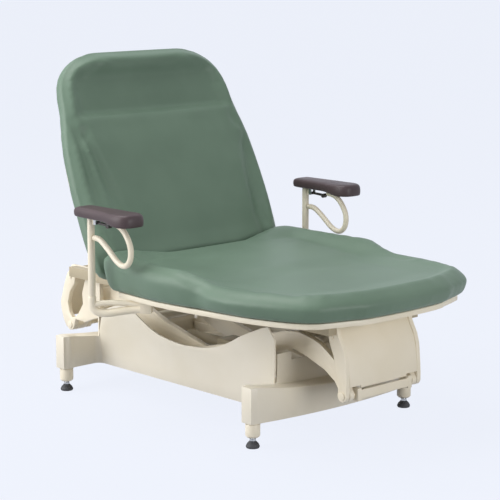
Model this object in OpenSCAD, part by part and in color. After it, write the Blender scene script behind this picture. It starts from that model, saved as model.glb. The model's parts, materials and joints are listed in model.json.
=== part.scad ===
// Low-access power examination table: a moulded base on four levelling feet, two pairs of
// cast lift arms that cross inside the base, and a seat with a reclining back and two armrests.
// The foot end points to -Y, the head end to +Y, the floor is at zero height.

/* [Stance] */
// Distance between the foot centres across the table
feet_across = 640; // [610:5:670]
// Distance between the foot centres along the table
feet_along = 875; // [860:5:900]
// Diameter of each rubber foot
foot_d = 40; // [34:1:44]
// Height of each rubber foot
foot_h = 20; // [16:1:22]
// Diameter of the levelling studs
stud_d = 12; // [10:1:14]
// Diameter of the painted legs
leg_d = 43; // [38:1:46]
// Height of the lower end of the painted legs
leg_low = 31; // [29:1:36]

/* [Base] */
// Height of the lower edge of the cover
cover_low = 75; // [70:1:80]
// Height of the cover's ledges at the corners
ledge_corner = 180; // [174:1:186]
// Height of the cover's ledges at the middle
ledge_middle = 152; // [150:1:158]
// Half width of the cover's waist
waist_half = 200; // [196:1:210]
// Wall thickness of the moulded cover
cover_wall = 5; // [4:0.5:6]
// How far the tops of the side wings lean outward
wing_flare = 60; // [40:1:70]
// Height of the wing peaks at the foot end
wing_peak = 341; // [320:1:344]
// Height of the wing valleys
wing_valley = 211; // [205:1:225]
// Width of the steel base rails
rail_w = 28; // [24:1:30]
// Height of the steel base rails
rail_h = 30; // [26:1:34]

/* [Lift] */
// Distance from the middle of the feet to each hinge line of the seat
pin_reach = 630; // [620:1:640]
// Height of the hinge lines at the lowest seat position
pin_z = 158; // [154:1:162]
// Distance from the middle of the feet to the lower arm pivots
pivot_reach = 380; // [370:1:382]
// Height of the lower arm pivots
pivot_z = 110; // [108:1:114]
// Thickness of the cast lift arms
arm_t = 18; // [14:1:18]
// Diameter of the hinge pins
pin_d = 16; // [14:1:18]
// Diameter of the track rollers
roller_d = 30; // [28:1:32]

/* [Seat] */
// Height of the cushion's underside at the lowest seat position
cushion_low = 380; // [376:1:390]
// Rise of the pan and cushion toward the foot end, in degrees
seat_tilt = 0.9; // [0:0.1:1.2]
// Height of the front part of the cushion
seat_front_h = 66; // [60:1:80]
// Height of the side bolsters
seat_rim_h = 103; // [96:1:112]
// Half width of the cushion at the hips
seat_half = 427; // [420:1:436]
// Reach of the cushion in front of the middle of the feet
seat_reach = 756; // [740:1:770]
// Thickness of the pan under the cushion
pan_t = 16; // [12:1:18]
// Distance of the pan's edge inside the cushion's edge
pan_inset = 30; // [20:1:36]
// Width of the seat frame tubes
seat_tube_w = 30; // [26:1:34]
// Height of the seat frame tubes
seat_tube_h = 32; // [28:1:34]

/* [Back] */
// Lean of the back from upright at its raised position
back_lean = 23.5; // [18:0.5:26]
// Length of the back cushion along its face
back_len = 725; // [690:5:740]
// Half width of the back cushion at its foot
back_half = 386; // [370:1:390]
// Thickness of the back cushion
back_t = 70; // [64:1:72]
// Thickness of the moulded rear shell
shell_t = 10; // [8:1:12]
// Diameter of the back frame tubes
back_tube_d = 25; // [22:1:28]

/* [Armrests] */
// Distance from the seat cushion's side to the middle of each armrest post
post_gap = 23; // [18:1:31]
// Distance of the posts behind the middle of the feet
post_y = 129; // [120:1:140]
// Diameter of the armrest posts
post_d = 22; // [21:1:26]
// Diameter of the bent tubes that carry the posts
bracket_d = 25; // [24:1:28]
// Diameter of the bent support tubes
loop_d = 18; // [16:1:20]
// Height of the top of the arm pads
pad_top = 646; // [636:1:656]
// Thickness of the arm pads
pad_t = 32; // [28:1:36]
// Length of the arm pads
pad_len = 260; // [220:2:270]

/* [Hidden] */

$fn = 48;
// Running clearance round a pin
run_gap = 0.06;
// Gap beside a moving face
side_gap = 2;
// Gap round soft forms
soft_gap = 0.3;
// How far a cut runs past the face that it opens
over = 5;
// Slack under faces that meet at a slant
touch = run_gap / 4;
colour_cover = [0.87, 0.85, 0.80];
colour_paint = [0.84, 0.79, 0.69];
colour_vinyl = [0.44, 0.54, 0.46];
colour_dark = [0.24, 0.24, 0.25];
colour_steel = [0.66, 0.67, 0.69];
colour_pad = [0.30, 0.25, 0.27];
colour_frame = [0.55, 0.52, 0.46];

half_x = feet_across / 2;
half_y = feet_along / 2;

// Layers of the end hinges, outward from the centre line
head_ear_in = 80;
ear_t = 16;
inner_arm_in = head_ear_in + ear_t + side_gap;
foot_ear_in = inner_arm_in;
arm_in = inner_arm_in + arm_t + 3 * side_gap;
arm_out = arm_in + arm_t;
cast_in = arm_out + side_gap;
cast_t = 15;
cast_out = cast_in + cast_t;
pan_low = cushion_low - pan_t;
tube_low = pan_low - seat_tube_h;
cast_h = pan_low - pin_z;

// The frame's origin is the middle of the whole table on the floor,
// from the cushion's nose to the head castings
seat_level_y = 146;
head_bow_share = 0.248;
nose_y = (seat_reach + seat_level_y) * cos(seat_tilt) - seat_level_y - seat_front_h * 0.45 * sin(seat_tilt);
plan_shift = (nose_y - pin_reach - head_bow_share * cast_h) / 2;

// Smooth curve through control points [place, value]
function seek(p, v, i = 0) = i >= len(p) - 2 || v <= p[i + 1][0] ? i : seek(p, v, i + 1);
function along(p, v) = let (i = seek(p, v), t = (v - p[i][0]) / (p[i + 1][0] - p[i][0]),
    s = min(1, max(0, t)),
    a = p[max(0, i - 1)], b = p[i], c = p[i + 1], d = p[min(len(p) - 1, i + 2)],
    w = c[0] - b[0],
    m0 = (c[1] - a[1]) / (c[0] - a[0]) * w,
    m1 = (d[1] - b[1]) / (d[0] - b[0]) * w)
  (2 * s * s * s - 3 * s * s + 1) * b[1] + (s * s * s - 2 * s * s + s) * m0
    + (3 * s * s - 2 * s * s * s) * c[1] + (s * s * s - s * s) * m1;
function ease(t) = let (s = min(1, max(0, t))) s * s * (3 - 2 * s);
function total(v) = v * [for (p = v) 1];

module placed() { translate([0, plan_shift, 0]) children(); }
module pair() { children(); mirror([1, 0, 0]) children(); }
module ends() { children(); mirror([0, 1, 0]) children(); }
// A plate whose outline is drawn in (Y, Z), from x to x + t
module side_plate(x, t) { translate([x, 0, 0]) rotate([90, 0, 90]) linear_extrude(t) children(); }
module rod_x(x, l, d, y, z) { translate([x, y, z]) rotate([0, 90, 0]) cylinder(h = l, d = d); }
// Two discs and a straight band whose edges end just inside both
band_share = 0.96;
module link_outline(a, ra, b, rb) {
  v = b - a;
  turn = atan2(v[1], v[0]);
  side = acos((ra - rb) / norm(v));
  translate(a) circle(r = ra);
  translate(b) circle(r = rb);
  polygon([for (p = [[a, ra, side], [a, ra, -side], [b, rb, -side], [b, rb, side]])
    p[0] + band_share * p[1] * [cos(turn + p[2]), sin(turn + p[2])]]);
}
// A soft or moulded form: closed rings from the lowest to the highest, counter-clockwise from above
module skin(rings) {
  n = len(rings[0]);
  m = len(rings);
  low = [for (k = [0:2]) total([for (p = rings[0]) p[k]]) / n];
  top = [for (k = [0:2]) total([for (p = rings[m - 1]) p[k]]) / n];
  polyhedron(points = concat([for (r = rings) each r], [low, top]),
    faces = concat(
      [for (i = [0:m - 2], j = [0:n - 1]) [i * n + j, (i + 1) * n + j, (i + 1) * n + (j + 1) % n]],
      [for (i = [0:m - 2], j = [0:n - 1]) [i * n + j, (i + 1) * n + (j + 1) % n, i * n + (j + 1) % n]],
      [for (j = [0:n - 1]) [j, (j + 1) % n, m * n]],
      [for (j = [0:n - 1]) [(m - 1) * n + (j + 1) % n, (m - 1) * n + j, m * n + 1]]));
}
// A round tube along a smooth route that lies in one upright plane; the points are [reach, height]
tube_sides = 14;
function smooth(p, steps) = [for (i = [0:len(p) - 2], k = [0:steps - 1])
    let (a = p[max(0, i - 1)], b = p[i], c = p[i + 1], d = p[min(len(p) - 1, i + 2)], t = k / steps)
    (2 * b + (c - a) * t + (2 * a - 5 * b + 4 * c - d) * t * t + (3 * b - a - 3 * c + d) * t * t * t) / 2,
  p[len(p) - 1]];
module bent_tube(route, d) {
  n = len(route);
  way = [for (i = [0:n - 1]) let (v = route[min(n - 1, i + 1)] - route[max(0, i - 1)]) v / norm(v)];
  skin([for (i = [0:n - 1]) [for (j = [0:tube_sides - 1]) let (a = -360 * j / tube_sides)
    [route[i][0] - way[i][1] * cos(a) * d / 2, sin(a) * d / 2, route[i][1] + way[i][0] * cos(a) * d / 2]]]);
}

/* Feet and legs */
module at_feet() { for (x = [-half_x, half_x], y = [-half_y, half_y]) translate([x, y, 0]) children(); }
module rubber_feet() {
  color(colour_dark) at_feet() rotate_extrude()
    polygon([[0, 0], [foot_d * 0.46, 0], [foot_d / 2, foot_h * 0.15], [foot_d / 2, foot_h * 0.3],
      [foot_d * 0.42, foot_h * 0.62], [foot_d * 0.24, foot_h], [0, foot_h]]);
}
frame_lift = 8;
rail_z = cover_low + frame_lift;
rail_top = rail_z + rail_h;
nut_d = stud_d * 1.6;
nut_h = (leg_low - foot_h) * 0.6;
module levelling_studs() {
  color(colour_steel) at_feet() {
    translate([0, 0, foot_h]) cylinder(h = nut_h, d = nut_d, $fn = 6);
    translate([0, 0, foot_h]) cylinder(h = rail_top - foot_h, d = stud_d);
  }
}
leg_chamfer = leg_d * 0.12;
leg_neck_r = leg_d * 0.43;
leg_groove = cover_low - leg_d * 0.1;
module leg_posts() {
  color(colour_paint) at_feet() difference() {
    rotate_extrude() polygon([[0, leg_low], [leg_d / 2 - leg_chamfer, leg_low],
      [leg_d / 2, leg_low + leg_chamfer], [leg_d / 2, leg_groove], [leg_neck_r, leg_groove],
      [leg_neck_r, rail_z], [0, rail_z]]);
    cylinder(h = rail_top, d = stud_d + 2 * run_gap);
  }
}

/* Base frame: two long rails, two cross tubes over the legs, floor plates and pivot brackets */
rail_in = waist_half - cover_wall - rail_w;
rail_half = half_y + rail_w / 2;
foot_bar_half = half_x + rail_w / 2;
floor_plate_w = rail_h;
floor_t = 3;
pivot_ear_r = pin_d * 1.5;
track_reach = pivot_reach + roller_d / 2;
track_end = pivot_reach * 0.2;
floor_places = [-track_reach + floor_plate_w / 2, -track_end - floor_plate_w, 0];
module pivot_ear_outline() {
  hull() {
    translate([pivot_reach, pivot_z]) circle(r = pivot_ear_r);
    translate([pivot_reach - pivot_ear_r, rail_z]) square([2 * pivot_ear_r, frame_lift]);
  }
}
module base_frame() {
  color(colour_frame) difference() {
    union() {
      pair() translate([rail_in, -rail_half, rail_z]) cube([rail_w, 2 * rail_half, rail_h]);
      ends() translate([-foot_bar_half, half_y - rail_w / 2, rail_z])
        cube([2 * foot_bar_half, rail_w, rail_h]);
      for (y = floor_places) translate([-rail_in - over, y - floor_plate_w / 2, rail_z])
        cube([2 * (rail_in + over), floor_plate_w, floor_t]);
      pair() side_plate(arm_out + side_gap / 2, rail_in + over - arm_out) pivot_ear_outline();
    }
    pair() rod_x(arm_out, rail_w + rail_in - arm_out + over, pin_d - 2 * run_gap, pivot_reach, pivot_z);
    at_feet() cylinder(h = rail_top + over, d = stud_d + 2 * run_gap);
  }
}

/* Moulded base cover */
bow_front = half_y + leg_d * 1.25;
lobe_r = 25;
bar_in = half_y - lobe_r * 0.8;
module end_outline() {
  bow = bow_front - half_y - lobe_r;
  r = (half_x * half_x + bow * bow) / (2 * bow);
  intersection() {
    translate([0, bow_front - r]) circle(r = r, $fn = 180);
    translate([-half_x - lobe_r, bar_in]) square([feet_across + 2 * lobe_r, feet_along]);
  }
  for (s = [-1, 1]) translate([s * half_x, half_y]) circle(r = lobe_r);
}
module plan_outline() {
  offset(r = -lobe_r) offset(delta = lobe_r) {
    for (s = [0, 1]) mirror([0, s]) end_outline();
    square([2 * waist_half, 2 * bar_in + lobe_r], center = true);
  }
}
ledge_rise = ledge_corner - ledge_middle;
ledge_r = (half_x * half_x + ledge_rise * ledge_rise) / (2 * ledge_rise);
module ledge_cut(lift) {
  translate([0, 0, ledge_middle + ledge_r + lift]) rotate([90, 0, 0])
    cylinder(h = 2 * feet_along, r = ledge_r, center = true, $fn = 180);
}
wing_rise = wing_peak - wing_valley;
// Height of a wing's top edge above the valley, as shares of the foot peak's rise, along the table
wing_shares = [[-0.524, 0.70], [-0.513, 0.95], [-0.493, 1.0], [-0.435, 0.846], [-0.347, 0.60],
  [-0.229, 0.231], [-0.145, 0.077], [-0.064, 0.015], [0.0, 0.0], [0.095, 0.085], [0.144, 0.20],
  [0.178, 0.346], [0.209, 0.492], [0.234, 0.63], [0.275, 0.66], [0.343, 0.554], [0.411, 0.315],
  [0.44, 0.02], [0.457, -0.22]];
function wing_top(y) = wing_valley + wing_rise * along(wing_shares, y / feet_along);
wing_start = wing_shares[0][0] * feet_along;
wing_end = wing_shares[len(wing_shares) - 1][0] * feet_along;
wing_steps = 36;
wing_levels = 5;
flare_power = 1.6;
function wing_x(z) =
  waist_half + wing_flare * pow(max(0, (z - cover_low) / (wing_peak - cover_low)), flare_power);
// The foot end of a wing overhangs the ledge as it rises
wing_back_share = 0.27;
function wing_y(u, z) = wing_start * (1 - u) + wing_end * u
  + (1 - ease(u * 4)) * wing_back_share * (wing_peak - z);
module wing() {
  sections = [for (i = [0:wing_steps]) let (u = i / wing_steps,
    zt = wing_top(wing_start * (1 - u) + wing_end * u),
      zs = [for (k = [0:wing_levels]) cover_low + (zt - cover_low) * k / wing_levels])
    concat([for (z = zs) [wing_x(z), wing_y(u, z), z]],
      [for (k = [wing_levels:-1:0]) [wing_x(zs[k]) - cover_wall, wing_y(u, zs[k]), zs[k]]])];
  n = len(sections[0]);
  m = len(sections);
  polyhedron(points = [for (s = sections) each s],
    faces = concat(
      [for (i = [0:m - 2], j = [0:n - 1]) [i * n + j, i * n + (j + 1) % n, (i + 1) * n + (j + 1) % n]],
      [for (i = [0:m - 2], j = [0:n - 1]) [i * n + j, (i + 1) * n + (j + 1) % n, (i + 1) * n + j]],
      [for (k = [0:wing_levels - 1]) [k, 2 * wing_levels + 1 - k, k + 1]],
      [for (k = [0:wing_levels - 1]) [2 * wing_levels + 1 - k, 2 * wing_levels - k, k + 1]],
      [for (k = [0:wing_levels - 1]) [(m - 1) * n + k, (m - 1) * n + k + 1, m * n - 1 - k]],
      [for (k = [0:wing_levels - 1]) [m * n - 1 - k, (m - 1) * n + k + 1, m * n - 2 - k]]));
}
end_wall_y = bar_in - cover_wall;
end_wall_low = rail_top + side_gap;
end_wall_top = wing_valley + wing_rise * 0.3;
notch_low = end_wall_top - 5 * over;
slot_gap = 8;
inlet_w = 50;
inlet_h = 28;
inlet_x = waist_half * 0.4;
inlet_z = cover_low + inlet_h;
module base_cover() {
  color(colour_cover) difference() {
    union() {
      difference() {
        translate([0, 0, cover_low]) linear_extrude(ledge_corner - cover_low) plan_outline();
        difference() {
          translate([0, 0, cover_low - over])
            linear_extrude(ledge_corner - cover_low + 2 * over) offset(delta = -cover_wall) plan_outline();
          ledge_cut(-cover_wall);
        }
        ledge_cut(0);
        translate([-waist_half + cover_wall, -end_wall_y, cover_low - over])
          cube([2 * (waist_half - cover_wall), 2 * end_wall_y, feet_along]);
        translate([-waist_half, -end_wall_y, ledge_middle])
          cube([2 * waist_half, 2 * end_wall_y, ledge_corner]);
      }
      pair() wing();
      ends() translate([-waist_half - over, end_wall_y, end_wall_low])
        cube([2 * (waist_half + over), cover_wall, end_wall_top - end_wall_low]);
    }
    ends() pair() translate([inner_arm_in - slot_gap, end_wall_y - over, notch_low])
      cube([arm_out - inner_arm_in + 2 * slot_gap, cover_wall + 2 * over, end_wall_top]);
    translate([inlet_x - soft_gap, half_y, inlet_z - soft_gap])
      cube([inlet_w + 2 * soft_gap, leg_d * 2, inlet_h + 2 * soft_gap]);
  }
}
module power_inlet() {
  color(colour_dark) difference() {
    translate([inlet_x, half_y + rail_w / 2, inlet_z]) cube([inlet_w, leg_d * 0.85, inlet_h]);
    translate([inlet_x + inlet_w * 0.25, half_y + leg_d * 0.9, inlet_z + inlet_h * 0.2])
      cube([inlet_w * 0.5, leg_d, inlet_h * 0.6]);
  }
}

/* Tracks for the rollers of the head arm, inside the base */
track_t = 3;
track_w = 24;
track_h = roller_d / 2 + side_gap / 2;
track_low = rail_z + floor_t;
track_x = inner_arm_in - side_gap - track_w;
module base_tracks() {
  color(colour_frame) pair() difference() {
    translate([track_x, -track_reach, track_low])
      cube([track_w, track_reach - track_end, pivot_z + track_h + track_t - track_low]);
    translate([track_x + track_t, -track_reach - over, pivot_z - track_h])
      cube([track_w, track_reach - track_end + 2 * over, 2 * track_h]);
  }
}
shaft_half = waist_half - cover_wall - rail_w / 2;
module base_pivot_shaft() {
  color(colour_steel) rod_x(-shaft_half, 2 * shaft_half, pin_d - 2 * run_gap, pivot_reach, pivot_z);
}

/* Lift arms */
boss_r = 22;
arm_len = pin_reach + pivot_reach;
arm_rise = tube_low - pin_z;
// Outline of an arm from its upper pin to its lower pivot: share of the length, share of the rise
arm_top_shares = [[0.026, 0.52], [0.046, 0.53], [0.062, 0.60], [0.100, 0.74], [0.134, 0.81], [0.190, 0.87],
  [0.245, 0.84], [0.31, 0.73], [0.44, 0.44], [0.62, 0.18], [0.85, -0.02], [0.985, -0.16]];
arm_low_shares = [[0.985, -0.38], [0.85, -0.32], [0.62, -0.16], [0.44, 0.10], [0.31, 0.38], [0.230, 0.54],
  [0.207, 0.56], [0.157, 0.49], [0.085, 0.34], [0.039, 0.17], [0.020, 0.02]];
function arm_point(p) = [-pin_reach + p[0] * arm_len, pin_z + p[1] * arm_rise];
module arm_outline() {
  difference() {
    union() {
      polygon([for (p = concat(arm_top_shares, arm_low_shares)) arm_point(p)]);
      translate([pivot_reach, pivot_z]) circle(r = boss_r);
      link_outline(arm_point([0.045, 0.38]), boss_r * 0.9, [-pin_reach, pin_z], boss_r * 0.8);
    }
    translate([-pin_reach, pin_z]) circle(d = pin_d);
    translate([pivot_reach, pivot_z]) circle(d = pin_d);
  }
}
tie_d = 30;
tie_point = arm_point([0.376, 0.46]);
crank_r = 60;
// The crank leans as far to one side at rest as to the other at full height
lift_turn = 28.3;
crank_lean = lift_turn / 2;
crank_t = 11;
crank_x = 17;
crank_pin_d = 12;
crank_y = pivot_reach - crank_r * sin(crank_lean);
crank_z = pivot_z + crank_r * cos(crank_lean);
module crank_outline() {
  difference() {
    link_outline([pivot_reach, pivot_z], boss_r, [crank_y, crank_z], crank_pin_d);
    translate([pivot_reach, pivot_z]) circle(d = pin_d);
  }
}
module foot_lift_arm() {
  color(colour_paint) {
    pair() side_plate(arm_in, arm_t) arm_outline();
    rod_x(-arm_in - over, 2 * (arm_in + over), tie_d, tie_point[0], tie_point[1]);
    difference() {
      rod_x(-arm_in - over, 2 * (arm_in + over), 1.8 * boss_r, pivot_reach, pivot_z);
      rod_x(-arm_in - 2 * over, 2 * (arm_in + 2 * over), pin_d, pivot_reach, pivot_z);
    }
    pair() side_plate(crank_x, crank_t) crank_outline();
    rod_x(-crank_x - crank_t / 2, 2 * crank_x + crank_t, crank_pin_d, crank_y, crank_z);
  }
}
module head_lift_arm() {
  color(colour_paint) mirror([0, 1, 0]) {
    pair() side_plate(inner_arm_in, arm_t) arm_outline();
    rod_x(-inner_arm_in - over, 2 * (inner_arm_in + over), tie_d, tie_point[0], tie_point[1]);
    pair() difference() {
      rod_x(inner_arm_in + arm_t / 2, cast_in - side_gap - inner_arm_in - arm_t / 2,
        1.7 * boss_r, -pin_reach, pin_z);
      rod_x(inner_arm_in, cast_in, pin_d, -pin_reach, pin_z);
    }
  }
}
roller_w = track_w - track_t - side_gap;
module arm_rollers() {
  color(colour_dark) pair() {
    rod_x(track_x + track_t + side_gap / 2, roller_w, roller_d, -pivot_reach, pivot_z);
    rod_x(inner_arm_in - 2 * side_gap, arm_t + 2 * side_gap, pin_d - 2 * run_gap, -pivot_reach, pivot_z);
  }
}

/* End castings that hang from the seat frame and carry the arm pins */
// Outlines as shares of the castings' height, outward and upward from their pin
foot_cast_shares = [[0.085, -0.02], [0.088, 0.07], [0.078, 0.25], [0.052, 0.515], [0.010, 0.66],
  [-0.085, 0.835], [-0.12, 1.03], [-0.36, 1.03], [-0.285, 0.84], [-0.255, 0.728], [-0.17, 0.534],
  [-0.12, 0.354], [-0.075, 0.15], [-0.08, 0.0]];
head_cast_shares = [[0.10, -0.05], [0.18, 0.073], [0.233, 0.228], [head_bow_share, 0.354], [0.16, 0.62],
  [0.073, 0.825], [-0.068, 1.0], [-0.786, 1.0], [-0.786, 0.243], [-0.58, 0.18], [-0.476, 0.14],
  [-0.398, 0.10], [-0.14, 0.11], [-0.10, -0.02]];
head_window_shares = [[-0.155, 0.88], [-0.126, 0.70], [0.0, 0.544], [0.058, 0.36], [0.02, 0.214],
  [-0.05, 0.125], [-0.13, 0.14], [-0.214, 0.214], [-0.34, 0.393], [-0.325, 0.568], [-0.37, 0.70],
  [-0.43, 0.88]];
function cast_point(p) = [pin_reach + p[0] * cast_h, pin_z + p[1] * cast_h];
lug_r = 18;
module lug() { translate([pin_reach, pin_z]) circle(r = lug_r); }
module lug_hole() { translate([pin_reach, pin_z]) circle(d = pin_d); }
module foot_casting() {
  mirror([0, 1, 0]) side_plate(cast_in, cast_t) difference() {
    union() {
      polygon([for (p = foot_cast_shares) cast_point(p)]);
      lug();
    }
    lug_hole();
  }
}
module head_casting() {
  side_plate(cast_in, cast_t) difference() {
    union() {
      polygon([for (p = head_cast_shares) cast_point(p)]);
      lug();
    }
    polygon([for (p = head_window_shares) cast_point(p)]);
    lug_hole();
  }
}
module foot_casting_right() { color(colour_paint) foot_casting(); }
module foot_casting_left() { color(colour_paint) mirror([1, 0, 0]) foot_casting(); }
module head_casting_right() { color(colour_paint) head_casting(); }
module head_casting_left() { color(colour_paint) mirror([1, 0, 0]) head_casting(); }

bar_h = 25;
bar_t = 18;
bar_y = pin_reach + side_gap * 2;
// The crossbar lies between the arms and carries the inner ears of the hinge
module end_crossbar(ear_in) {
  difference() {
    union() {
      translate([-ear_in - ear_t / 2, bar_y, pin_z - bar_h / 2]) cube([2 * ear_in + ear_t, bar_t, bar_h]);
      pair() side_plate(ear_in, ear_t) {
        translate([pin_reach, pin_z]) circle(r = lug_r);
        translate([pin_reach, pin_z - lug_r]) square([bar_y + bar_t - pin_reach, 2 * lug_r]);
      }
    }
    rod_x(-cast_out, 2 * cast_out, pin_d, pin_reach, pin_z);
  }
}
module foot_crossbar() { color(colour_paint) mirror([0, 1, 0]) end_crossbar(foot_ear_in); }
module head_crossbar() { color(colour_paint) end_crossbar(head_ear_in); }
pin_head_d = pin_d * 1.4;
pin_head_t = 3;
module end_pins(x_in) {
  pair() {
    rod_x(x_in, cast_out - x_in, pin_d - 2 * run_gap, pin_reach, pin_z);
    rod_x(cast_out, pin_head_t, pin_head_d, pin_reach, pin_z);
  }
}
module foot_pins() { color(colour_steel) mirror([0, 1, 0]) end_pins(foot_ear_in); }
module head_pins() { color(colour_steel) end_pins(head_ear_in); }
bolt_d = 12;
bolt_t = 4;
bolt_z = tube_low - bolt_d * 0.8;
bolt_places_shares = [-0.6, -0.03];
module casting_bolts() {
  color(colour_steel) pair() {
    for (s = bolt_places_shares) rod_x(cast_out, bolt_t, bolt_d, pin_reach + s * cast_h, bolt_z);
    mirror([0, 1, 0]) rod_x(cast_out, bolt_t, bolt_d, pin_reach - 0.2 * cast_h, bolt_z);
  }
}

panel_t = 3;
// Curved closing panel between the castings, notched at its lower corners round the hinges
foot_panel_shares = [[0.085, 0.09], [0.075, 0.25], [0.045, 0.50], [0.005, 0.64], [-0.09, 0.82],
  [-0.16, 0.95]];
head_panel_shares = [[0.13, 0.10], [0.195, 0.26], [0.205, 0.36], [0.12, 0.61], [0.03, 0.80], [-0.09, 0.96]];
module end_panel(shares, ear_in) {
  outer = [for (p = shares) cast_point(p)];
  inner = [for (i = [len(outer) - 1:-1:0]) outer[i] - [panel_t, 0]];
  difference() {
    side_plate(-cast_in, 2 * cast_in) polygon(concat(outer, inner));
    pair() translate([ear_in - side_gap, pin_reach - cast_h, pin_z - cast_h])
      cube([cast_in, 2 * cast_h, cast_h + lug_r + side_gap + over]);
    translate([-cast_in - over, pin_reach - cast_h, pin_z - cast_h])
      cube([2 * (cast_in + over), 2 * cast_h, cast_h + bar_h / 2]);
  }
}
module foot_panel() { color(colour_paint) mirror([0, 1, 0]) end_panel(foot_panel_shares, foot_ear_in); }
module head_panel() { color(colour_paint) end_panel(head_panel_shares, head_ear_in); }

/* Seat frame and pan */
seat_front_y = pin_reach - seat_tube_w * 0.8;
seat_rear_y = pin_reach - seat_tube_w * 1.3;
seat_rise = (seat_front_y + seat_level_y) * tan(seat_tilt);
cross_places_shares = [-0.84, -0.35, 0.268, 0.70];
module seat_tilted() {
  translate([0, seat_level_y, cushion_low]) rotate([-seat_tilt, 0, 0])
    translate([0, -seat_level_y, -cushion_low]) children();
}
module rail_outline(z) {
  polygon([[-seat_front_y, z], [seat_rear_y, z], [seat_rear_y, pan_low - touch],
    [seat_level_y, pan_low - touch],
    [-seat_front_y, pan_low + seat_rise - touch]]);
}
hinge_y = 255;
hinge_rise = 4;
hinge_z = cushion_low + hinge_rise;
hinge_ear_t = 8;
hinge_pin_d = 14;
back_tube_x = 203;
hinge_ear_x = back_tube_x + back_tube_d / 2 + side_gap;
hinge_ear_r = 18;
module seat_frame() {
  color(colour_frame) difference() {
    union() {
      pair() side_plate(cast_out, seat_tube_w) rail_outline(tube_low);
      for (s = cross_places_shares) intersection() {
        side_plate(-cast_out - over, 2 * (cast_out + over)) rail_outline(tube_low + seat_tube_h * 0.25);
        translate([-cast_out - over, s * pin_reach - seat_tube_w / 2, 0])
          cube([2 * (cast_out + over), seat_tube_w, 2 * pan_low]);
      }
      pair() {
        translate([cast_out + seat_tube_w / 2, hinge_y - hinge_ear_r, tube_low])
          cube([hinge_ear_x + hinge_ear_t - cast_out - seat_tube_w / 2, 2 * hinge_ear_r, seat_tube_h]);
        side_plate(hinge_ear_x, hinge_ear_t) {
          translate([hinge_y, hinge_z]) circle(r = hinge_ear_r);
          translate([hinge_y - hinge_ear_r, tube_low]) square([2 * hinge_ear_r, hinge_z - tube_low]);
        }
      }
    }
    pair() rod_x(hinge_ear_x - over, hinge_ear_t + 2 * over, hinge_pin_d, hinge_y, hinge_z);
  }
}
// Half width of the cushion at places along the table, both as shares
nose_share = 0.968;
seat_edge_shares = [[-0.968, 0.47], [-0.918, 0.72], [-0.834, 0.835], [-0.73, 0.90], [-0.614, 0.945],
  [-0.526, 0.962], [-0.414, 0.978], [-0.263, 0.997], [-0.15, 1.0], [-0.066, 0.988], [0.045, 0.965],
  [0.11, 0.948], [0.145, 0.938], [0.162, 0.918]];
rear_share = 0.168;
rear_half_share = 0.895;
seat_places_shares = [-1.0, -0.997, -0.99, -0.981, -0.968, -0.945, -0.918, -0.88, -0.834, -0.785, -0.73,
  -0.67, -0.614, -0.526, -0.45, -0.37, -0.29, -0.20, -0.12, -0.03, 0.05, 0.105, 0.145, 0.162,
  rear_share];
// Points across the rear edge
rear_places_shares = [0.86, 0.68, 0.46, 0.16, -0.16, -0.46, -0.68, -0.86];
seat_back_y = rear_share * seat_reach;
function seat_half_at(s) = s < -nose_share
  ? seat_half * seat_edge_shares[0][1] * sqrt(max(0, 1 - pow((s + nose_share) / (1 - nose_share), 2)))
  : s >= rear_share ? seat_half * rear_half_share : seat_half * along(seat_edge_shares, s);
function seat_edge(share) = let (inset = share * seat_half,
    right = [for (s = seat_places_shares) [seat_half_at(s), s * seat_reach]],
    rear = [for (f = rear_places_shares) [f * rear_half_share * seat_half, seat_back_y]],
    pts = concat(right, rear, [for (i = [len(right) - 1:-1:1]) [-right[i][0], right[i][1]]]),
    mid = [0, -0.38 * seat_reach])
  [for (p = pts) let (v = p - mid, l = norm(v)) mid + v * (l - inset) / l];
function hips(y) = ease((y + 0.46 * seat_reach) / (0.19 * seat_reach));
rear_rise = 10;
function rim_h(y) = seat_front_h + (seat_rim_h - seat_front_h) * hips(y)
  + rear_rise * ease((y + 0.2 * seat_reach) / (0.3 * seat_reach));
function mid_h(y) = seat_front_h * 0.93
  + (seat_rim_h - seat_front_h) * 0.75 * ease((y / seat_reach + 0.5) / 0.7);
// Along the rear edge the rim sinks to the middle's height between the bolsters
function dip(x, y) = (1 - ease((abs(x) / seat_half - 0.42) / 0.32)) * ease(y / seat_reach / 0.12);
function edge_h(x, y) = rim_h(y) + (mid_h(y) - rim_h(y)) * dip(x, y);
// The rear face slants with the back
function rear_lean(y, h) = ease((y - 0.4 * seat_back_y) / (0.6 * seat_back_y)) * h * tan(back_lean);
// Rings as shares: inset of the half width, height of the rim, way from the rim to the middle surface
seat_ring_shares = [[0.033, 0, 0], [0.012, 0.06, 0], [0.002, 0.22, 0], [0, 0.45, 0], [0.007, 0.72, 0],
  [0.019, 0.90, 0], [0.042, 0.98, 0], [0.08, 1, 0.05], [0.155, 1, 0.4], [0.253, 1, 0.85], [0.40, 1, 1]];
module seat_cushion() {
  color(colour_vinyl) seat_tilted() skin([for (r = seat_ring_shares) [for (p = seat_edge(r[0]))
    let (edge = soft_gap + (edge_h(p[0], p[1]) - soft_gap) * r[1], h = edge + (mid_h(p[1]) - edge) * r[2])
    [p[0], p[1] + rear_lean(p[1], h), cushion_low + h]]]);
}
module seat_pan() {
  color(colour_paint) seat_tilted() translate([0, 0, pan_low]) linear_extrude(pan_t)
    polygon(seat_edge(pan_inset / seat_half));
}

/* Back */
face_gap = 6;
face_rise = 105;
back_face_z = cushion_low + face_rise;
back_face_y = seat_back_y + face_gap / cos(back_lean) + (back_face_z - cushion_low) * tan(back_lean);
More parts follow.
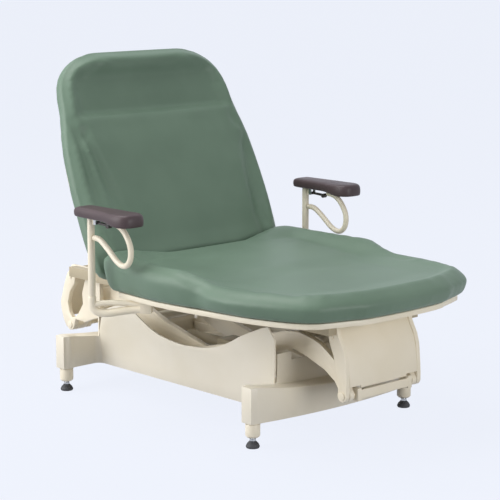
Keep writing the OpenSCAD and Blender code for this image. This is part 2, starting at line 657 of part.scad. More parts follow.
// In the back's own frame: x across, z along the face, y into the cushion
module back_place() { translate([0, back_face_y, back_face_z]) rotate([-back_lean, 0, 0]) children(); }
back_low = -75;
back_edge_shares = [[0.0, 0.90], [0.02, 0.955], [0.06, 0.985], [0.15, 1.0], [0.40, 1.0], [0.52, 0.985],
  [0.60, 0.965], [0.68, 0.93], [0.75, 0.90], [0.82, 0.885], [0.87, 0.86], [0.92, 0.80], [0.96, 0.705],
  [0.985, 0.60], [1.0, 0.47]];
back_places_shares = [0.0, 0.01, 0.03, 0.06, 0.11, 0.17, 0.24, 0.32, 0.40, 0.46, 0.52, 0.58, 0.63, 0.68,
  0.73, 0.78, 0.82, 0.86, 0.90, 0.93, 0.96, 0.98, 0.993, 1.0];
function back_edge(share) = let (
    right = [for (s = back_places_shares)
      [back_half * along(back_edge_shares, s), back_low + s * back_len]],
    pts = concat(right, [for (i = [len(right) - 1:-1:0]) [-right[i][0], right[i][1]]]),
    mid = [0, back_low + 0.5 * back_len])
  [for (p = pts) let (v = p - mid) mid + [v[0] * (1 - share), v[1] * (1 - 2 * share * back_half / back_len)]];
head_lift = 14;
face_drop = 6;
bolster_h = 10;
function head_out(z) = head_lift * ease((z - back_low - 0.66 * back_len) / (0.1 * back_len));
function bolster(x, z) = bolster_h * ease((abs(x) - 0.70 * back_half) / (0.12 * back_half))
  * (1 - ease((z - back_low - 0.60 * back_len) / (0.08 * back_len)));
// Rings from the rear to the face, as shares: inset of the half width, thickness
back_ring_shares = [[0.036, 0], [0.010, 0.06], [0, 0.25], [0, 0.60], [0.010, 0.80], [0.034, 0.93],
  [0.078, 0.99], [0.16, 1.0], [0.26, 1.0], [0.39, 1.0], [0.60, 1.0]];
module back_cushion() {
  color(colour_vinyl) back_place() rotate([90, 0, 0])
    skin([for (r = back_ring_shares) [for (p = back_edge(r[0]))
    [p[0], p[1], -back_t + soft_gap + (back_t - soft_gap) * r[1]
      + pow(r[1], 4) * (head_out(p[1]) - face_drop + bolster(p[0], p[1]))]]]);
}
shell_inset = 20;
module back_shell() {
  color(colour_cover) back_place() translate([0, back_t + shell_t, 0]) rotate([90, 0, 0])
    linear_extrude(shell_t) polygon(back_edge(shell_inset / back_half));
}
strap_t = 8;
back_strap_shares = [0.2, 0.5, 0.76];
back_crank_r = 65;
recline = 90 - back_lean;
back_crank_lean = recline / 2;
back_crank_t = 6;
back_crank_x = 10;
back_pin_d = 10;
back_pin_y = hinge_y + back_crank_r * sin(back_crank_lean);
back_pin_z = hinge_z - back_crank_r * cos(back_crank_lean);
tube_top_share = 0.78;
// Lower end of the back frame's tubes, in the table's frame
foot_out = back_t + shell_t + back_tube_d / 2;
foot_up = back_low + back_tube_d * 1.5;
tube_foot = [back_face_y + foot_out * cos(back_lean) + foot_up * sin(back_lean),
  back_face_z - foot_out * sin(back_lean) + foot_up * cos(back_lean)];
module back_frame() {
  color(colour_frame) difference() {
    union() {
      back_place() translate([0, back_t + shell_t + touch, 0]) {
        pair() translate([back_tube_x - back_tube_d / 2, 0, back_low + back_tube_d])
          cube([back_tube_d, back_tube_d, tube_top_share * back_len]);
        for (s = back_strap_shares) translate([-back_tube_x, 0, back_low + s * back_len])
          cube([2 * back_tube_x, strap_t, back_tube_d * 1.4]);
      }
      pair() side_plate(back_tube_x - back_tube_d * 0.4, back_tube_d * 0.8)
        link_outline([hinge_y, hinge_z], back_tube_d * 0.58, tube_foot, back_tube_d * 0.45);
      rod_x(-back_tube_x, 2 * back_tube_x, back_tube_d, hinge_y, hinge_z);
      pair() side_plate(back_crank_x, back_crank_t)
        link_outline([hinge_y, hinge_z], back_tube_d * 0.56, [back_pin_y, back_pin_z], back_pin_d * 0.8);
      rod_x(-back_crank_x - over, 2 * (back_crank_x + over), back_pin_d, back_pin_y, back_pin_z);
    }
    pair() rod_x(back_tube_x - back_tube_d / 2, back_tube_d + over, hinge_pin_d, hinge_y, hinge_z);
  }
}
hinge_head_t = 4;
module back_hinge_pins() {
  color(colour_steel) pair() {
    rod_x(back_tube_x, hinge_ear_x + hinge_ear_t - back_tube_x,
      hinge_pin_d - 2 * run_gap, hinge_y, hinge_z);
    rod_x(hinge_ear_x + hinge_ear_t, hinge_head_t, hinge_pin_d * 1.5, hinge_y, hinge_z);
  }
}
// The back's push rod runs level with the middle of its crank pin's path
back_act_z = hinge_z - back_crank_r * (1 + cos(back_crank_lean)) / 2;
back_act_d = 28;
back_rod_d = 16;
back_act_y = cross_places_shares[1] * pin_reach;
back_act_len = 280;
module back_actuator_tube() {
  color(colour_frame) {
    translate([0, back_act_y, back_act_z]) rotate([-90, 0, 0]) difference() {
      cylinder(h = back_act_len, d = back_act_d);
      translate([0, 0, 2 * over]) cylinder(h = back_act_len, d = back_rod_d + 2 * run_gap);
    }
    translate([-back_act_d / 3, back_act_y - seat_tube_w / 2, back_act_z - back_act_d / 4])
      cube([back_act_d / 1.5, seat_tube_w, tube_low + seat_tube_h * 0.25 - back_act_z + back_act_d / 4]);
  }
}
fork_len = 34;
fork_w = 2 * back_crank_x - side_gap;
slot_w = back_pin_d + 1.5 * side_gap;
slot_h = back_crank_r * (1 - cos(back_crank_lean)) + back_pin_d + side_gap;
module back_actuator_rod() {
  fork_h = slot_h + 2 * over;
  color(colour_steel) {
    translate([0, back_act_y + back_act_len * 0.55, back_act_z]) rotate([-90, 0, 0])
      cylinder(h = back_pin_y - back_act_y - back_act_len * 0.55 - fork_len / 2, d = back_rod_d);
    difference() {
      translate([-fork_w / 2, back_pin_y - fork_len / 2, back_act_z - fork_h / 2])
        cube([fork_w, fork_len, fork_h]);
      translate([-fork_w, back_pin_y - slot_w / 2, back_act_z - slot_h / 2])
        cube([2 * fork_w, slot_w, slot_h]);
    }
  }
}

/* Lift actuator and electrics in the base */
act_z = pivot_z + crank_r * (1 + cos(crank_lean)) / 2;
act_d = 42;
act_rod_d = 24;
act_y = pivot_reach * 0.08;
act_len = 168;
module lift_tube() {
  color(colour_frame) translate([0, act_y, act_z]) rotate([-90, 0, 0]) difference() {
    cylinder(h = act_len, d = act_d);
    translate([0, 0, over]) cylinder(h = act_len, d = act_rod_d + 2 * run_gap);
  }
}
eye_w = 2 * crank_x - side_gap;
eye_d = crank_pin_d + crank_r * (1 - cos(crank_lean)) + side_gap;
eye_r = crank_pin_d * 1.25;
module lift_rod() {
  start = act_y + act_len * 0.4;
  color(colour_steel) difference() {
    union() {
      translate([0, start, act_z]) rotate([-90, 0, 0])
        cylinder(h = crank_y - start - crank_pin_d, d = act_rod_d);
      rod_x(-eye_w / 2, eye_w, 2 * eye_r, crank_y, act_z);
    }
    rod_x(-eye_w, 2 * eye_w, eye_d, crank_y, act_z);
  }
}
gear_w = 70;
motor_d = 56;
module lift_motor() {
  color(colour_frame) {
    translate([-gear_w / 2, act_y - 1.1 * gear_w, rail_z + floor_t])
      cube([gear_w, 1.1 * gear_w, act_z + act_d / 2 + over - rail_z - floor_t]);
    translate([0, act_y - gear_w, act_z - act_d / 2]) rotate([90, 0, 0])
      cylinder(h = 2 * motor_d, d = motor_d);
  }
}
box_l = 120;
box_h = 46;
module control_box() {
  color(colour_dark) translate([-box_l / 2, floor_places[0] - floor_plate_w / 2, rail_z + floor_t])
    cube([box_l, box_l, box_h]);
}

/* Armrests */
pad_z = pad_top - pad_t;
joint_z = pan_low + seat_tube_h / 4;
bend_low = tube_low - seat_tube_h / 3;
post_x = seat_half + post_gap;
inner_x = seat_half * 0.875;
inner_y = post_y * 0.3;
run_len = norm([post_x - inner_x, post_y - inner_y]);
run_turn = atan2(inner_y - post_y, inner_x - post_x);
// Route of the lower bracket tube from the post's foot to its block under the pan
bracket_shares = [[0, 1.0], [0, 0.8], [0, 0.62], [0.02, 0.36], [0.12, 0.10], [0.36, 0.0], [0.68, 0.12],
  [1.0, 0.24], [1.35, 0.34]];
// Route of the thinner tube above it, which runs close under the pan
strap_shares = [[0.02, 0.42], [0.14, 0.54], [0.34, 0.62], [0.60, 0.64], [0.90, 0.63], [1.35, 0.60]];
function bracket_route(shares) =
  [for (p = shares) [p[0] * run_len, bend_low + p[1] * (joint_z - bend_low)]];
block_w = 34;
spigot_l = 40;
// The block is cut off along the underside of the tilted pan
module arm_bracket() {
  difference() {
    translate([post_x, post_y, 0]) rotate([0, 0, run_turn]) {
      bent_tube(smooth(bracket_route(bracket_shares), 3), bracket_d);
      bent_tube(smooth(bracket_route(strap_shares), 2), loop_d);
      translate([0, 0, joint_z - over]) cylinder(h = spigot_l + over, d = pin_d - 2 * run_gap);
      translate([1.25 * run_len, -block_w / 2, bend_low + over])
        cube([block_w, block_w, cushion_low - bend_low - over]);
    }
    seat_tilted() translate([0, -seat_reach, pan_low - touch])
      cube([inner_x + block_w, 2 * seat_reach, 2 * pan_t]);
  }
}
// Web at the post's head, as shares of its reach and height
web_reach = 24;
web_h = 30;
web_shares = [[0, 0], [0.62, 0.35], [0.95, 0.8], [1.0, 1.0], [0, 1.0]];
module arm_post() {
  translate([post_x, post_y, 0]) difference() {
    union() {
      translate([0, 0, joint_z + run_gap]) cylinder(h = pad_z - joint_z - run_gap, d = post_d);
      side_plate(-post_d * 0.15, post_d * 0.3)
        polygon([for (p = web_shares) [-p[0] * web_reach, pad_z - touch - (1 - p[1]) * web_h]]);
    }
    cylinder(h = joint_z + spigot_l + side_gap, d = pin_d);
  }
}
// Route of the bent support tube, as shares of its reach and height
loop_reach = 187;
loop_h = 120;
loop_shares = [[0.069, 0.555], [0.20, 0.555], [0.32, 0.46], [0.485, 0.28], [0.63, 0.10], [0.781, 0.0],
  [0.90, 0.03], [0.99, 0.20], [1.0, 0.46], [0.935, 0.68], [0.82, 0.88], [0.68, 0.985], [0.54, 1.0]];
module arm_loop() {
  translate([post_x, post_y, pad_z - loop_d / 2 - loop_h]) rotate([0, 0, -90])
    bent_tube(smooth([for (p = loop_shares) [p[0] * loop_reach, p[1] * loop_h]], 2), loop_d);
}
pad_rear = post_d * 1.75;
pad_half = 46;
pad_shares = [[0.0, 0.66], [0.06, 0.78], [0.35, 0.80], [0.55, 0.90], [0.75, 1.0], [0.90, 0.93],
  [0.97, 0.70], [1.0, 0.40]];
// The paddle at the front is thicker: a lip droops round its underside and its top rises
pad_droop = 9;
pad_crown = 3;
function paddle(y) = ease((-y / pad_len - 0.64) / 0.2);
pad_places_shares = [0.0, 0.03, 0.15, 0.35, 0.5, 0.62, 0.75, 0.85, 0.92, 0.97, 1.0];
function pad_edge(share) = let (
    right = [for (s = pad_places_shares) [pad_half * along(pad_shares, s), -s * pad_len]],
    pts = concat([for (i = [len(right) - 1:-1:0]) right[i]], [for (p = right) [-p[0], p[1]]]))
  [for (p = pts) [p[0] * (1 - share),
    (p[1] + pad_len / 2) * (1 - 2 * share * pad_half / pad_len) - pad_len / 2]];
// Rings as shares: inset of the half width, height, part of the droop
pad_ring_shares = [[0.15, 0, 0], [0.03, 0.12, 0.9], [0, 0.35, 0.7], [0, 0.65, 0.3], [0.075, 0.86, 0],
  [0.225, 0.96, 0], [0.5, 1.0, 0]];
module arm_pad() {
  translate([post_x + pad_half * 0.13, post_y + pad_rear, pad_z])
    skin([for (r = pad_ring_shares) [for (p = pad_edge(r[0]))
    [p[0], p[1], soft_gap + (pad_t - soft_gap) * r[1]
      + paddle(p[1]) * (pad_crown * r[1] - pad_droop * r[2])]]]);
}
lever_len = 55;
lever_w = 14;
lever_t = 6;
lever_y = post_y - pad_len * 0.12;
lever_z = pad_z - 2.5 * lever_t;
lever_pin_d = 5;
knob_d = 14;
knob_z = lever_z - lever_t / 2;
// A flat blade that curves down to a round knob
lever_shares = [[0, 0.5], [0.5, 0.45], [1.0, 0.1], [1.0, -0.9], [0.45, -0.55], [0, -0.5]];
module release_lever() {
  difference() {
    union() {
      side_plate(post_x - lever_w * 0.35, lever_w * 0.7)
        polygon([for (p = lever_shares) [lever_y - p[0] * lever_len, lever_z + p[1] * lever_t]]);
      rod_x(post_x - lever_w / 2, lever_w, 2 * lever_pin_d, lever_y, lever_z);
      rod_x(post_x - lever_w / 2, lever_w, knob_d, lever_y - lever_len, knob_z);
    }
    rod_x(post_x - lever_w, 2 * lever_w, lever_pin_d, lever_y, lever_z);
  }
}
cheek_t = 3;
module lever_pin() {
  rod_x(post_x - lever_w / 2 - side_gap, lever_w + 2 * side_gap,
    lever_pin_d - 2 * run_gap, lever_y, lever_z);
  for (s = [-1, 1]) translate([post_x + s * (lever_w + side_gap + cheek_t) / 2 - cheek_t / 2,
      lever_y - lever_pin_d, lever_z - lever_pin_d])
    cube([cheek_t, 2 * lever_pin_d, pad_z - lever_z + lever_pin_d]);
}
module arm_bracket_right() { color(colour_paint) arm_bracket(); }
module arm_bracket_left() { color(colour_paint) mirror([1, 0, 0]) arm_bracket(); }
module arm_post_right() { color(colour_paint) arm_post(); }
module arm_post_left() { color(colour_paint) mirror([1, 0, 0]) arm_post(); }
module arm_loop_right() { color(colour_paint) arm_loop(); }
module arm_loop_left() { color(colour_paint) mirror([1, 0, 0]) arm_loop(); }
module arm_pad_right() { color(colour_pad) arm_pad(); }
module arm_pad_left() { color(colour_pad) mirror([1, 0, 0]) arm_pad(); }
module release_lever_right() { color(colour_dark) release_lever(); }
module release_lever_left() { color(colour_dark) mirror([1, 0, 0]) release_lever(); }
module lever_pin_right() { color(colour_steel) lever_pin(); }
module lever_pin_left() { color(colour_steel) mirror([1, 0, 0]) lever_pin(); }

placed() base_frame();
placed() base_cover();
placed() leg_posts();
placed() levelling_studs();
placed() rubber_feet();
placed() base_tracks();
placed() base_pivot_shaft();
placed() lift_motor();
placed() lift_tube();
placed() lift_rod();
placed() control_box();
placed() power_inlet();
placed() foot_lift_arm();
placed() head_lift_arm();
placed() arm_rollers();
placed() foot_pins();
placed() head_pins();
placed() foot_casting_left();
placed() foot_casting_right();
placed() head_casting_left();
placed() head_casting_right();
placed() foot_crossbar();
placed() head_crossbar();
placed() foot_panel();
placed() head_panel();
placed() casting_bolts();
placed() seat_frame();
placed() seat_pan();
placed() seat_cushion();
placed() back_frame();
placed() back_shell();
placed() back_cushion();
placed() back_hinge_pins();
placed() back_actuator_tube();
placed() back_actuator_rod();
placed() arm_bracket_left();
placed() arm_bracket_right();
placed() arm_post_left();
placed() arm_post_right();
placed() arm_loop_left();
placed() arm_loop_right();
placed() arm_pad_left();
placed() arm_pad_right();
placed() release_lever_left();
placed() release_lever_right();
placed() lever_pin_left();
placed() lever_pin_right();
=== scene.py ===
# %% [markdown]
# # A low-access examination table
# The table is a moulded base on four levelling feet, two pairs of cast arms that lift a wide
# seat, a back that reclines and two armrests that swing away. The engineering model comes in
# as a fixed frame. This lesson dresses it: soft edges, moulded vinyl, paint, rubber and light.

# %% Load the engineering model
import json
import math

import bpy
import bmesh
import numpy as np
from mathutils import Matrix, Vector


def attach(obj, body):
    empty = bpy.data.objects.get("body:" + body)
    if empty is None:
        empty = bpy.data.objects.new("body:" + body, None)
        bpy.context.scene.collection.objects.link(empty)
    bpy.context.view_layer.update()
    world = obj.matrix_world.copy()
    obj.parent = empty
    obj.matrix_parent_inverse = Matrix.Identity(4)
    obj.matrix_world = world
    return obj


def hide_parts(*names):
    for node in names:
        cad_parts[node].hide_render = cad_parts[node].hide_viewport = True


MM = 0.001
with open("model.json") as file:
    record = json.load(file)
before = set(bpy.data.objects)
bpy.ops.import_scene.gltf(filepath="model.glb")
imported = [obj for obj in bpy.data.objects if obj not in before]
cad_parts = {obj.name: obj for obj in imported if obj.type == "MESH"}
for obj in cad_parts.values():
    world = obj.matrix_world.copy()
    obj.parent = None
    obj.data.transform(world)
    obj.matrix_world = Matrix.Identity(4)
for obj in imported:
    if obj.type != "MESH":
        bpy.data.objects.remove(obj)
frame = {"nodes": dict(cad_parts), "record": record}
nodes = frame["nodes"]
body_of_node = {n: b for b, ns in frame["record"]["behaviour"]["bodies"].items() for n in ns}
slot_of_node = {s["node"]: s["material_slot"] for s in frame["record"]["subparts"]}
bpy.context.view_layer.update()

# %% [markdown]
# ## The view
# The photograph was taken from far away with a long lens, a little above the seat, over the
# foot end's left corner. A long lens keeps the far armrest almost as large as the near one, so
# the camera stands more than five metres off and looks at the middle of the table.

# %% Camera
stand = Vector((-3.546, -3.849, 1.423))
aim = Vector((0.0, -0.0455, 0.4858))
lens_mm = 123.77
sensor_mm = 36

bpy.ops.object.camera_add(location=stand)
camera = bpy.context.active_object
camera.rotation_euler = (aim - camera.location).to_track_quat("-Z", "Y").to_euler()
camera.data.sensor_width = sensor_mm
camera.data.lens = lens_mm
bpy.context.scene.camera = camera
bpy.context.scene.view_settings.view_transform = "Standard"
print("lens:", lens_mm, "mm, distance:", round((aim - stand).length, 2), "m")

# %% [markdown]
# ## Working by hand in code
# An operator works on everything that is selected, and the imported nodes arrive selected. So
# each step first says which piece it means. Imported meshes are loose triangles: a copy is
# welded before anything else is done to it. Flat areas are then joined into single faces, or,
# for a piece that will be subdivided, pairs of triangles become four-sided faces.

# %% Helpers for pieces
weld_distance = 0.02 * MM
flat_turn = math.radians(0.6)
quad_turn = math.radians(50)
quad_skew = math.radians(60)


def only(piece):
    bpy.ops.object.select_all(action="DESELECT")
    piece.select_set(True)
    bpy.context.view_layer.objects.active = piece


def edit_all(piece):
    only(piece)
    bpy.ops.object.mode_set(mode="EDIT")
    bpy.ops.mesh.select_all(action="SELECT")


def welded_copy(node, name, flat=True):
    piece = bpy.data.objects.new(name, nodes[node].data.copy())
    bpy.context.scene.collection.objects.link(piece)
    piece.data.name = name
    edit_all(piece)
    bpy.ops.mesh.remove_doubles(threshold=weld_distance)
    if flat:
        bpy.ops.mesh.dissolve_limited(angle_limit=flat_turn)
    else:
        bpy.ops.mesh.tris_convert_to_quads(face_threshold=quad_turn, shape_threshold=quad_skew)
    bpy.ops.object.mode_set(mode="OBJECT")
    return piece


def apply_modifier(piece, kind, **settings):
    only(piece)
    bpy.ops.object.modifier_add(type=kind)
    modifier = piece.modifiers[-1]
    for key, value in settings.items():
        setattr(modifier, key, value)
    bpy.ops.object.modifier_apply(modifier=modifier.name)


def round_edges(piece, width_mm, segments, turn):
    # turn is the angle in degrees from which an edge counts as a corner
    apply_modifier(piece, "BEVEL", width=width_mm * MM, segments=segments,
                   limit_method="ANGLE", angle_limit=math.radians(turn))


def smooth_by_angle(piece, degrees):
    only(piece)
    bpy.ops.object.shade_smooth_by_angle(angle=math.radians(degrees))


def settle(piece, node, finish):
    piece.data.materials.clear()
    piece.data.materials.append(finish)
    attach(piece, body_of_node[node])
    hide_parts(node)

# %% [markdown]
# ## Colour and the one helper for material nodes
# Colours are written as the hex values that a paint chip would have on screen. Shaders want
# linear light, so one function turns them. A second function adds a node, sets its values and
# joins its links, and every material below is made with it.

# %% Colour and node helpers
def shade(code):
    values = [int(code[i:i + 2], 16) / 255 for i in (0, 2, 4)]
    linear = [v / 12.92 if v <= 0.04045 else ((v + 0.055) / 1.055) ** 2.4 for v in values]
    return (*linear, 1.0)


def new_material(name):
    material = bpy.data.materials.new(name)
    material.use_nodes = True
    material.node_tree.nodes.clear()
    return material


def add_node(tree, kind, settings=None, values=None, links=None):
    node = tree.nodes.new(kind)
    for key, value in (settings or {}).items():
        setattr(node, key, value)
    for key, value in (values or {}).items():
        node.inputs[key].default_value = value
    for key, socket in (links or {}).items():
        tree.links.new(socket, node.inputs[key])
    return node


def blend_colours(tree, factor, low, high):
    # low and high are each a place on the ramp and the colour that it has there
    node = add_node(tree, "ShaderNodeValToRGB", links={"Fac": factor})
    for element, (place, code) in zip(node.color_ramp.elements, (low, high)):
        element.position = place
        element.color = shade(code)
    return node.outputs["Color"]

# %% [markdown]
# ## Upholstery vinyl
# The cushions are seamless: a sheet of warm vinyl is drawn by vacuum over the foam. Vinyl is
# plasticised PVC with an IOR near 1.52. It is neither glossy nor dull, so highlights are wide
# and soft. Its embossed leather grain has cells of about one millimetre, drawn here at two so
# that they still show, and the pigment is very slightly uneven.

# %% Vinyl
def vinyl(name, base, deep):
    roughness = 0.46
    cell = 2.0 * MM
    pore = 8.0 * MM
    pore_share = 0.4
    material = new_material(name)
    tree = material.node_tree
    place = add_node(tree, "ShaderNodeTexCoord").outputs["Object"]
    cloud = add_node(tree, "ShaderNodeTexNoise", links={"Vector": place},
                     values={"Scale": 5.0, "Detail": 3.0, "Roughness": 0.5}).outputs["Fac"]
    colour = blend_colours(tree, cloud, (0.35, deep), (0.65, base))
    cells = add_node(tree, "ShaderNodeTexVoronoi", {"feature": "DISTANCE_TO_EDGE"},
                     {"Scale": 1 / cell}, {"Vector": place})
    pores = add_node(tree, "ShaderNodeTexNoise", values={"Scale": 1 / pore, "Detail": 4.0},
                     links={"Vector": place})
    height = add_node(tree, "ShaderNodeMath", {"operation": "MULTIPLY_ADD"}, {1: pore_share},
                      {0: pores.outputs["Fac"], 2: cells.outputs["Distance"]})
    grain = add_node(tree, "ShaderNodeBump", values={"Strength": 0.22, "Distance": 0.6 * MM},
                     links={"Height": height.outputs[0]})
    wear = add_node(tree, "ShaderNodeMapRange", links={"Value": cloud},
                    values={"To Min": roughness - 0.05, "To Max": roughness + 0.06})
    surface = add_node(tree, "ShaderNodeBsdfPrincipled",
                       values={"IOR": 1.52, "Specular IOR Level": 0.38},
                       links={"Base Color": colour, "Roughness": wear.outputs["Result"],
                              "Normal": grain.outputs["Normal"]})
    add_node(tree, "ShaderNodeOutputMaterial", links={"Surface": surface.outputs["BSDF"]})
    return material


seat_vinyl = vinyl("seamless_vinyl_seat", "6B8270", "647B69")
# The back is the same vinyl as the seat, but its colours are set a step darker: painted shade for the
# back's face, which gets less light
back_vinyl_shaded = vinyl("seamless_vinyl_back_shaded", "6A816F", "637A68")
print("vinyl:", seat_vinyl.name, back_vinyl_shaded.name)

# %% [markdown]
# ## Paint, plastic, rubber and steel
# The base cover is vacuum-formed ABS: smooth, off-white, with a slight orange peel. Cast and
# tubular parts carry a baked powder coat. Powder never lies quite flat, so it gets a fine
# ripple and a little variation in gloss. The arm pads are self-skinned urethane foam, brown
# grey, with a satin skin. Feet are dull rubber, and pins and studs are zinc plated steel.

# %% Coated and moulded finishes
def coat(name, base, deep, roughness, ripple_mm, strength,
         ior=1.5, metallic=0.0, gleam=0.5, spread=0.05):
    material = new_material(name)
    tree = material.node_tree
    place = add_node(tree, "ShaderNodeTexCoord").outputs["Object"]
    cloud = add_node(tree, "ShaderNodeTexNoise", values={"Scale": 7.0, "Detail": 4.0},
                     links={"Vector": place}).outputs["Fac"]
    colour = blend_colours(tree, cloud, (0.3, deep), (0.7, base))
    peel = add_node(tree, "ShaderNodeTexNoise", links={"Vector": place},
                    values={"Scale": 1 / (ripple_mm * MM), "Detail": 2.0})
    skin = add_node(tree, "ShaderNodeBump", values={"Strength": strength, "Distance": 0.4 * MM},
                    links={"Height": peel.outputs["Fac"]})
    gloss = add_node(tree, "ShaderNodeMapRange", links={"Value": cloud},
                     values={"To Min": roughness - spread, "To Max": roughness + spread})
    surface = add_node(tree, "ShaderNodeBsdfPrincipled",
                       values={"IOR": ior, "Metallic": metallic, "Specular IOR Level": gleam},
                       links={"Base Color": colour, "Roughness": gloss.outputs["Result"],
                              "Normal": skin.outputs["Normal"]})
    add_node(tree, "ShaderNodeOutputMaterial", links={"Surface": surface.outputs["BSDF"]})
    return material


cover_abs = coat("formed_abs_off_white", "EBE4D5", "E6DECC",
                 roughness=0.34, ripple_mm=9.0, strength=0.10, ior=1.54)
powder_beige = coat("powder_coat_beige", "F3EAD7", "EEE4CE",
                    roughness=0.38, ripple_mm=3.0, strength=0.16)
powder_frame = coat("powder_coat_frame", "B5A98F", "AA9E84",
                    roughness=0.5, ripple_mm=3.0, strength=0.2)
urethane = coat("self_skinned_urethane", "554749", "4B3F42",
                roughness=0.42, ripple_mm=2.5, strength=0.2, gleam=0.3)
foot_rubber = coat("moulded_rubber", "3E3F42", "37383B",
                   roughness=0.62, ripple_mm=2.0, strength=0.3, ior=1.52)
black_nylon = coat("black_nylon", "3A3432", "322D2B",
                   roughness=0.5, ripple_mm=2.0, strength=0.3, ior=1.53)
zinc = coat("zinc_plated_steel", "B9BBBD", "A9ABAE",
            roughness=0.34, ripple_mm=1.5, strength=0.1, metallic=1.0, spread=0.06)

finishes = {
    "cover_white": cover_abs, "paint_beige": powder_beige, "frame_grey": powder_frame,
    "vinyl_green": seat_vinyl, "pad_dark": urethane, "rubber_dark": foot_rubber,
    "plastic_dark": black_nylon, "steel": zinc,
}
for name, node in nodes.items():
    node.data.materials.clear()
    node.data.materials.append(finishes[slot_of_node[name]])
print("finishes:", len(finishes))

# %% [markdown]
# ## Castings, arms and frames
# Sand casting and powder coating leave no sharp corner anywhere. A bevel on every edge that
# turns by some thirty degrees or more catches a thin line of light, and that line is what makes
# a hard part look made. Width is the real radius: three millimetres on the heavy castings, about
# one on sheet, and less on turned pins and rods, which only have the edges of their ends broken.

# %% Soften the hard parts
edge_mm = {
    "base_frame": 1.5, "base_tracks": 0.8, "lift_motor": 3.0, "control_box": 2.0,
    "power_inlet": 1.0, "foot_lift_arm": 3.0, "head_lift_arm": 3.0,
    "foot_casting_left": 3.0, "foot_casting_right": 3.0,
    "head_casting_left": 3.0, "head_casting_right": 3.0,
    "foot_crossbar": 2.5, "head_crossbar": 2.5, "foot_panel": 0.9, "head_panel": 0.9,
    "seat_frame": 2.0, "seat_pan": 2.5, "back_frame": 2.0, "casting_bolts": 0.8,
    "foot_pins": 0.8, "head_pins": 0.8, "back_hinge_pins": 0.8, "lift_rod": 0.8,
    "back_actuator_rod": 0.8, "back_actuator_tube": 1.0, "lift_tube": 1.0,
    "arm_rollers": 1.0, "levelling_studs": 0.6, "leg_posts": 1.0,
}
for name, width in edge_mm.items():
    piece = welded_copy(name, "soft_" + name)
    round_edges(piece, width_mm=width, segments=2, turn=28)
    smooth_by_angle(piece, degrees=32)
    settle(piece, name, finish=finishes[slot_of_node[name]])
print("softened:", len(edge_mm), "parts")

# %% [markdown]
# ## The moulded cover
# The cover is the one large form below the cushions: a waisted tub whose sides sweep up into
# wings. The engineering solid has it in short flat strips. Here the strips are joined and
# shaded as one skin. Its upright corners get the wide radius of a former, and its rims the
# small one of a trimmed moulding. The corners are picked by their direction and their turn.

# %% Upright corners of the cover
corner_radius = 9 * MM
corner_turn = math.radians(55)
corner_length = 30 * MM
upright_share = 0.9
outer_x = 200 * MM

cover = welded_copy("base_cover", "cover_skin")
edit_all(cover)
bpy.ops.mesh.select_all(action="DESELECT")
bpy.ops.mesh.select_mode(type="EDGE")
mesh = bmesh.from_edit_mesh(cover.data)
corners = []
for edge in mesh.edges:
    along = edge.verts[1].co - edge.verts[0].co
    stands = abs(along.z) > upright_share * along.length and along.length > corner_length
    if len(edge.link_faces) == 2 and stands and abs(edge.verts[0].co.x) > outer_x:
        if edge.calc_face_angle_signed() > corner_turn:
            corners.append(edge)
for edge in corners:
    edge.select_set(True)
print("rounded upright corners:", len(corners))
bmesh.update_edit_mesh(cover.data)
bpy.ops.mesh.bevel(offset=corner_radius, segments=4, profile=0.5, affect="EDGES", clamp_overlap=True)
bpy.ops.object.mode_set(mode="OBJECT")

# %% Rims of the cover
round_edges(cover, width_mm=1.6, segments=2, turn=40)
smooth_by_angle(cover, degrees=35)
settle(cover, "base_cover", finish=cover_abs)
print("cover faces:", len(cover.data.polygons))

# %% [markdown]
# ## Bent tubes and posts
# Tube is round, and the solid of a bent loop draws it with few sides. A subdivision surface
# rounds those sides off. Posts and brackets have welded plates and blocks on them, so they
# keep their form and get a fine bevel.

# %% Tubes
for side in ("left", "right"):
    loop = welded_copy("arm_loop_" + side, "tube_arm_loop_" + side, flat=False)
    apply_modifier(loop, "SUBSURF", levels=2, render_levels=2)
    bracket = welded_copy("arm_bracket_" + side, "tube_arm_bracket_" + side)
    round_edges(bracket, width_mm=1.0, segments=2, turn=40)
    post = welded_copy("arm_post_" + side, "tube_arm_post_" + side)
    round_edges(post, width_mm=1.0, segments=2, turn=40)
    for kind, piece in (("arm_loop_", loop), ("arm_bracket_", bracket), ("arm_post_", post)):
        smooth_by_angle(piece, degrees=50)
        settle(piece, kind + side, finish=powder_beige)
    print(side, "tube faces:", len(loop.data.polygons))

# %% [markdown]
# ## Arm pads
# Each pad is poured urethane with a tough skin: square at the post and widened at the front
# into a paddle for the hand. The rim is rounded, the top stays nearly flat, and the front
# lobe hangs a few millimetres lower, so that fingers close round it. The points are moved as
# one array, in millimetres, and an easing curve lets each change set in softly.

# %% Moving points softly
def points_of(piece):
    flat = np.empty(len(piece.data.vertices) * 3)
    piece.data.vertices.foreach_get("co", flat)
    return flat.reshape(-1, 3)


def place_points(piece, points):
    piece.data.vertices.foreach_set("co", points.ravel())
    piece.data.update()


def ease(t):
    t = np.clip(t, 0.0, 1.0)
    return t * t * (3 - 2 * t)


def rise(value, start, over, lift=1.0):
    # nothing up to start, then up to lift on a soft slope that is over long
    return lift * ease((value - start) / over)


def fall(value, start, over, lift=1.0):
    # lift up to start, then down to nothing on the same slope
    return lift - rise(value, start, over, lift)

# %% Pads
lobe_drop = 5.0
lobe_widening = 0.07
drop_lost_at_top = 0.4

